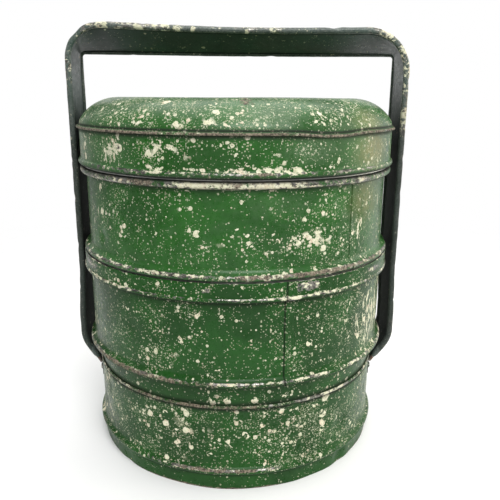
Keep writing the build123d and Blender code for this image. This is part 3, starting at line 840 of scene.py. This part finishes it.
def rounded(points, radii):
    """A polyline with rounded corners, the length along it at each point, and the lengths at its
    start, the middle of each corner and its end."""
    spans, marks = [points[:1]], [0]
    for before, corner, after, radius in zip(points, points[1:], points[2:], radii):
        one, two = before - corner, after - corner
        one, two = one / np.linalg.norm(one), two / np.linalg.norm(two)
        half = math.acos(np.clip(one @ two, -1, 1)) / 2
        inward = (one + two) / np.linalg.norm(one + two)
        sideways = (two - one) / np.linalg.norm(two - one)
        share = np.linspace(-1, 1, CORNER_POINTS)[:, None] * (math.pi / 2 - half)
        middle = corner + inward * radius / math.sin(half)
        spans.append(middle - radius * np.cos(share) * inward + radius * np.sin(share) * sideways)
        marks.append(sum(len(span) for span in spans) - (CORNER_POINTS + 1) // 2)
    spans.append(points[-1:])
    line = np.vstack(spans)
    length = length_along(line)
    return line, length, np.append(length[marks], length[-1])


def paired(front, back, step=1.3):
    """Two rounded lines sampled so that their corners keep together."""
    counts = [max(2, round(span / step)) for span in np.diff(front[2])]
    lines = []
    for line, length, corners in (front, back):
        spans = [np.linspace(a, b, n, endpoint=False) for a, b, n in zip(corners, corners[1:], counts)]
        at = np.append(np.concatenate(spans), corners[-1])
        lines.append(np.column_stack([np.interp(at, length, line[:, i]) for i in (0, 1)]))
    return lines


def strap_line(foot, grip, sag, left_corner, right_corner, drop=0.0):
    """One long edge of the strap in X and Z. foot holds the points below the knee; the grip
    hangs by sag in its middle, and its right end is lower by drop."""
    left = [(-x, z) for x, z in foot] + [(-BULGE_LEFT, KNEE), (-BULGE_LEFT, BULGE_LOW)]
    left += [(-LEG_LEFT, BULGE_HIGH), (-LEG_LEFT, grip)]
    right = [(LEG_RIGHT, grip - drop), (LEG_RIGHT, BULGE_HIGH), (BULGE_RIGHT, BULGE_LOW), (BULGE_RIGHT, KNEE)]
    right += foot[::-1]
    points = np.array(left + [(0, grip - sag - drop / 2)] + right)
    bends = [TAB_BEND] * (len(foot) - 1) + [KNEE_BEND, BULGE_BEND, BULGE_BEND]
    return rounded(points, bends + [left_corner, GRIP_BEND, right_corner] + bends[::-1])


def both_edges(foot):
    """The front edge of the strap, bent round wide corners, and the back edge, round tight ones."""
    front = strap_line(foot, GRIP_FRONT, sag=2.8, left_corner=21.0, right_corner=25.0, drop=2.3)
    back = strap_line(foot, GRIP_BACK, sag=0.4, left_corner=3.5, right_corner=3.5)
    return paired(front, back)


def strap_web():
    """Vertices, faces and wear of the flat web, with the tabs that lie on the wall."""
    tab_span = wall_outside + TAB_GAP + WEB_SHEET / 2
    slope = (BULGE_RIGHT - END_SPAN) / (KNEE - END_HEIGHT)
    bend_height = END_HEIGHT + (tab_span - END_SPAN) / slope
    front, back = both_edges([(tab_span, tab_bottom), (tab_span, bend_height)])
    across = np.linspace(-1, 1, WEB_COLUMNS)
    rows = []
    for offset in (WEB_SHEET / 2, -WEB_SHEET / 2):
        share = (across[:, None] * WEB_HALF / roll_offset + 1) / 2
        line = front[:, None] * (1 - share) + back[:, None] * share
        facing = np.stack([left_of(line[:, i]) for i in range(WEB_COLUMNS)], axis=1)
        x, z = line[..., 0], line[..., 1]
        low = np.clip((z - tab_bottom) / TAB_CORNER, 0, 1)
        width = WEB_HALF - TAB_CORNER + TAB_CORNER * np.sqrt(np.clip(low * (2 - low), 0, 1))
        y = across * width
        on_wall = np.clip((bend_height + TAB_EASE_TOP - z) / TAB_EASE, 0, 1)
        inset = WEB_INSET * (1 - on_wall)
        sway = 0.22 * ripple(83, 0.55 * (x + z), y, finest=12, lean=12) * (1 - on_wall)
        hollow = wall_outside - np.sqrt(wall_outside ** 2 - y ** 2)
        x = x + facing[..., 0] * (offset - inset + sway) - np.sign(x) * hollow * on_wall
        z = z + facing[..., 1] * (offset - inset + sway)
        rows.append(np.stack([x, y, z], axis=-1))
    outer, inner = rows
    vertices, faces = lofted(np.concatenate([outer, inner[:, ::-1]], axis=1))
    return vertices, faces, np.zeros(len(vertices))


def strap_roll(line, side, seed):
    """The sheet curled round one wire: side is -1 at the front and 1 at the back."""
    facing = left_of(line)
    length = length_along(line)[:, None]
    turn = np.radians(np.linspace(34, 348, 27))
    circle = np.column_stack([np.cos(turn), np.sin(turn)])
    section = np.vstack([circle * ROLL, circle[::-2] * (ROLL - ROLL_SHEET)])
    taper = np.clip(np.minimum(length, length[-1] - length) / 7, 0.35, 1)
    squeeze = 1 - 0.05 * (1 + ripple(seed, length * 0.9, 0, finest=60))
    angle = np.degrees(np.arctan2(section[:, 1], section[:, 0]))

    chance = np.random.default_rng(seed)
    notch = np.zeros((len(line), len(section)))
    for _ in range(CHANCE_NOTCHES):
        at = chance.uniform(NOTCH_MARGIN, length[-1, 0] - NOTCH_MARGIN)
        size = chance.uniform(0.8, 2.4)
        facet = chance.uniform(80, 260)
        depth = chance.uniform(0.1, 0.42)
        notch += depth * np.exp(-((length - at) / size) ** 2 - (turn_between(angle, facet) / 38) ** 2)
    for x, z, size, depth, facet in NOTCHES if side < 0 else ():
        away = ((line[:, :1] - x) ** 2 + (line[:, 1:] - z) ** 2) / size ** 2
        notch += depth * np.exp(-away - (turn_between(angle, facet) / 45) ** 2)

    scale = taper * squeeze * (1 - np.minimum(notch, 0.6))
    reach = section[:, 1] * scale
    y = side * (roll_offset - section[:, 0] * scale)
    x, z = line[:, :1] + facing[:, :1] * reach, line[:, 1:] + facing[:, 1:] * reach
    vertices, faces = lofted(np.stack([x, y, z], axis=-1))
    worn = np.clip(0.55 + 0.25 * np.sin(np.radians(angle)) * (angle > 0) + 0.8 * notch, 0, 1)
    worn = worn * (0.8 + 0.25 * ripple(seed + 3, length, 0, finest=60))
    return vertices, faces, worn.ravel()


def near(vertices, table):
    """Patches on the strap, round points in X and Z: rows of x, z, reach, strength."""
    total = np.zeros(len(vertices))
    for x, z, reach, strength in table:
        away = ((vertices[:, 0] - x) ** 2 + (vertices[:, 2] - z) ** 2) / reach ** 2
        total += strength * np.exp(-away ** 1.5)
    return total


def join_parts(parts):
    """Several sets of vertices, faces and wear as one."""
    vertices, faces, worn = [], [], []
    for part_vertices, part_faces, part_worn in parts:
        start = sum(len(v) for v in vertices)
        vertices.append(part_vertices)
        worn.append(part_worn)
        faces += [[i + start for i in face] for face in part_faces]
    return np.vstack(vertices), faces, np.concatenate(worn)


def tube(line, y, radius, sides=12):
    """Vertices and faces of a wire along one edge of the strap."""
    facing = left_of(line)
    turn = np.linspace(0, 2 * math.pi, sides, endpoint=False)
    reach, aside = radius * np.sin(turn), radius * np.cos(turn)
    x, z = line[:, :1] + facing[:, :1] * reach, line[:, 1:] + facing[:, 1:] * reach
    return lofted(np.stack([x, y + aside + 0 * x, z], axis=-1))


def strap_marks(vertices, worn):
    """Marks for the strap: its rolls are rubbed bare, and chips of cream sit along the front one."""
    x, y, z = vertices.T
    front, web = y < -roll_offset + ROLL, worn == 0
    # Darker beside the rolls and towards the foot of each leg; under the grip the darkening is painted shade
    beside_rolls = np.exp(-((np.abs(y) - WEB_HALF + 0.6) / 0.8) ** 2) * web
    on_legs = (np.abs(x) > LEG_LEFT - 3) * np.clip((238 - z) / 50, 0, 0.85) * np.where(web, 1, 0.75)
    grip_shade = np.where(z > 245, 0.06, 0) * web
    return {
        "specks": np.clip(0.06 + 0.05 * ripple(91, x + z, y), 0, 1),
        "splash": np.clip(front * near(vertices, CREAM_CHIPS), 0, 1),
        "wear": np.clip(worn + front * near(vertices, BARE_SPOTS), 0, 1),
        "rust": np.clip(worn * 0.2, 0, 1),
        "grime": np.clip(beside_rolls + on_legs + grip_shade, 0, 1),
        # The rolls are lightened by the sheen mark: a painted sheen
        "pale": np.clip(worn * 1.1, 0, 0.7),
        "streak": 0 * x,
        "stain": 0 * x,
    }


roll_front, roll_back = both_edges([(END_SPAN + 1.2, END_HEIGHT + 1.7)])
strap_parts = [strap_web(), strap_roll(roll_front, -1, 81), strap_roll(roll_back, 1, 82)]
vertices, faces, worn = join_parts(strap_parts)
make_piece(
    "handle_strap_sheet", "bottom_tier", vertices, faces, np.zeros(len(faces)),
    strap_marks(vertices, worn), [strap_paint], ["handle_strap"])
for name, line, side in (("front", roll_front, -1), ("back", roll_back, 1)):
    vertices, faces = tube(line, side * roll_offset, ROLL_WIRE)
    make_piece(
        f"handle_{name}_roll_wire", "bottom_tier", vertices, faces,
        np.zeros(len(faces)), {}, [iron], [f"handle_{name}_wire"])

# ---- carried-over CAD nodes
finishes = {"iron_wire": iron, "bare_tin": tinplate, "bare_steel": steel}
for part in frame["record"]["subparts"]:
    material = finishes.get(part["material_slot"])
    if material:
        mesh = frame["nodes"][part["node"]].data
        mesh.materials.clear()
        mesh.materials.append(material)

# ---- floor, light, camera
FLOOR_RADIUS, FLOOR_FADE = 0.9, (0.22, 0.75)  # metres; the floor thins out between these two

# The surround's brightness along one axis of the way looked in: from, to, and the value at each
WHITE_BEHIND = (0.15, 0.60, 0.36, 1.0)
GREYER_LEFT = (-0.68, -0.47, 0.42, 1.0)

# The view: metres, millimetres of lens, degrees
CAMERA_BACK, CAMERA_HEIGHT, LENS = 0.390, 0.226, 41.4
PITCH, YAW, TILT = 14.85, 1.41, 0.4


def soft_floor():
    """Pale floor that thins out into the white surround away from the carrier."""
    n = Nodes("floor")
    tone = n.mix(n.noise(60, detail=3), (0.90, 0.90, 0.90, 1), (0.93, 0.93, 0.92, 1))
    material = n.finish(tone, 0.9, 0.0, n.noise(2.0), lift=0.02)
    away = n.add("ShaderNodeVectorMath", operation="LENGTH")
    n.feed(away.inputs[0], n.place)
    clear = n.add("ShaderNodeBsdfTransparent")
    fade = n.add("ShaderNodeMixShader")
    n.feed(fade.inputs[0], n.band(away.outputs["Value"], *FLOOR_FADE))
    n.feed(fade.inputs[1], n.shader.outputs[0])
    n.feed(fade.inputs[2], clear.outputs[0])
    n.feed(n.tree.nodes["Material Output"].inputs["Surface"], fade.outputs[0])
    return material


bpy.ops.mesh.primitive_circle_add(vertices=96, radius=FLOOR_RADIUS, fill_type="NGON")
floor = bpy.context.object
floor.name = "floor"
floor.data.materials.append(soft_floor())


def area_light(name, place, aim, wide, tall, power, tint=(1, 1, 1)):
    light = bpy.data.lights.new(name, "AREA")
    light.color = tint
    light.shape, light.size, light.size_y, light.energy = "RECTANGLE", wide, tall, power
    lamp = add_object(name, light)
    lamp.location = place
    lamp.rotation_euler = (Vector(aim) - Vector(place)).to_track_quat("-Z", "Y").to_euler()


area_light("overhead", (0.0, 0.25, 1.3), (0, 0, 0.2), 1.2, 1.2, 8)
area_light("front_panel", (0.15, -0.9, 1.05), (0, 0, 0.2), 0.8, 0.8, 15)
area_light("left_panel", (-1.2, -0.1, 0.5), (0, 0, 0.15), 0.35, 0.9, 1.4)
area_light("right_panel", (1.1, 0.1, 0.45), (0, 0, 0.15), 0.9, 0.9, 6, (1.0, 0.97, 0.84))


def surround():
    """White behind the carrier, and greyer on its left and in front, where the tin mirrors it."""
    world = bpy.data.worlds.new("studio")
    world.use_nodes = True
    tree = world.node_tree
    way = tree.nodes.new("ShaderNodeSeparateXYZ")
    tree.links.new(tree.nodes.new("ShaderNodeTexCoord").outputs["Generated"], way.inputs[0])
    product = tree.nodes.new("ShaderNodeMath")
    product.operation = "MULTIPLY"
    for factor, axis, limits in zip(product.inputs, "YX", (WHITE_BEHIND, GREYER_LEFT)):
        fall = tree.nodes.new("ShaderNodeMapRange")
        fall.interpolation_type = "SMOOTHSTEP"
        for socket, value in zip(fall.inputs[1:5], limits):
            socket.default_value = value
        tree.links.new(way.outputs[axis], fall.inputs[0])
        tree.links.new(fall.outputs[0], factor)
    background = tree.nodes["Background"]
    background.inputs["Color"].default_value = (1, 1, 1, 1)
    tree.links.new(product.outputs[0], background.inputs["Strength"])
    return world


def view_camera():
    """The camera, in front of the carrier and a little above its middle."""
    lens = bpy.data.cameras.new("camera")
    lens.lens = LENS
    lens.clip_start = 0.01
    camera = add_object("camera", lens)
    turned = Matrix.Identity(4)
    for degrees, axis in ((-YAW, "Z"), (90 - PITCH, "X"), (TILT, "Z")):
        turned = turned @ Matrix.Rotation(math.radians(degrees), 4, axis)
    camera.matrix_world = Matrix.Translation((0, -CAMERA_BACK, CAMERA_HEIGHT)) @ turned
    return camera


scene.world = surround()
bpy.context.scene.camera = view_camera()
scene.view_settings.view_transform = "Standard"
